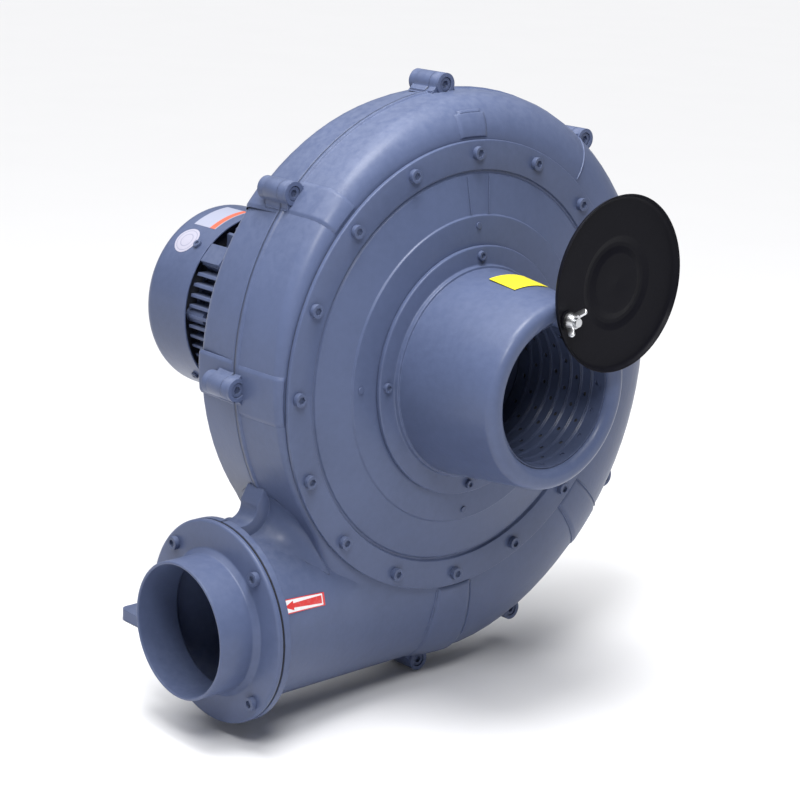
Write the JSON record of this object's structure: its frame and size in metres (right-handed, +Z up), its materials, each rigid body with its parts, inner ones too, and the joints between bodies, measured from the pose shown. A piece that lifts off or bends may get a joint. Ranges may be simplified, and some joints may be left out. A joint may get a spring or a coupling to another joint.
{
  "type": "turbo_blower",
  "caption": "Direct-drive radial turbo blower: split volute casing, inlet duct with swing damper disc, flanged outlet spigot, foot-mounted electric motor.",
  "frame": {"origin": "centre of the four foot holes, on the floor face of the stand", "axes": "+X away from the outlet, +Y along the shaft from the inlet to the motor, +Z up"},
  "size_m": [0.606, 0.5333, 0.6036],
  "materials": {
    "casing_paint": "satin",
    "cover_paint": "satin",
    "motor_paint": "satin",
    "stand_paint": "satin",
    "disc_black": "semi-gloss",
    "zinc_steel": "bright",
    "painted_screw": "satin",
    "sheet_steel": "brushed",
    "wheel_alloy": "brushed",
    "shaft_steel": "ground",
    "bearing_steel": "polished",
    "core_steel": "laminated",
    "winding_copper": "varnished",
    "gasket_rubber": "matte",
    "foam": "matte",
    "black_plastic": "matte",
    "fan_plastic": "matte",
    "cast_hub": "machined"
  },
  "bodies": {
    "frame": {"front_casing": "casing_paint", "rear_casing": "casing_paint", "casing_screws": "painted_screw", "cover_plate": "cover_paint", "cover_gasket": "gasket_rubber", "cover_screws": "painted_screw", "inlet_duct": "cover_paint", "inlet_screws": "painted_screw", "perforated_liner": "sheet_steel", "silencer_foam": "foam", "bellmouth": "sheet_steel", "bellmouth_rivets": "painted_screw", "damper_stud": "zinc_steel", "damper_washers": "zinc_steel", "outlet_spigot": "casing_paint", "outlet_gasket": "gasket_rubber", "outlet_bolts": "painted_screw", "front_bearing_outer": "bearing_steel", "rear_bearing_outer": "bearing_steel", "shaft_seal": "gasket_rubber", "drive_end_shield": "motor_paint", "motor_flange_bolts": "zinc_steel", "motor_housing": "motor_paint", "stator_core": "core_steel", "stator_windings": "winding_copper", "rear_end_shield": "motor_paint", "shield_screws": "zinc_steel", "preload_washer": "shaft_steel", "fan_cowl": "cover_paint", "cowl_screws": "zinc_steel", "terminal_box": "motor_paint", "terminal_block": "black_plastic", "terminal_lid": "motor_paint", "terminal_lid_screws": "zinc_steel", "cable_gland": "black_plastic", "motor_stand": "stand_paint", "stand_bolts": "zinc_steel"},
    "rotor": {"impeller_backplate": "wheel_alloy", "impeller_shroud": "wheel_alloy", "impeller_blades": "wheel_alloy", "impeller_hub": "cast_hub", "impeller_rivets": "zinc_steel", "impeller_key": "shaft_steel", "impeller_bolt": "zinc_steel", "motor_shaft": "shaft_steel", "front_bearing_inner": "bearing_steel", "front_bearing_balls": "bearing_steel", "rear_bearing_inner": "bearing_steel", "rear_bearing_balls": "bearing_steel", "rotor_core": "core_steel", "cooling_fan": "fan_plastic", "fan_clip": "shaft_steel"},
    "damper": {"damper_disc": "disc_black"},
    "wing": {"wing_nut": "zinc_steel"}
  },
  "joints": [
    {"name": "rotor_spin", "type": "hinge", "parent": "frame", "child": "rotor", "pos_m": [0, -0.176, 0.33], "axis": [0, 1, 0], "continuous": true},
    {"name": "damper_swing", "type": "hinge", "parent": "frame", "child": "damper", "pos_m": [-0.00386, -0.3715, 0.4037], "axis": [0, 1, 0], "range_deg": [-65, 110.3]},
    {"name": "wing_turn", "type": "hinge", "parent": "frame", "child": "wing", "pos_m": [-0.00386, -0.377, 0.4037], "axis": [0, 1, 0], "continuous": true}
  ]
}
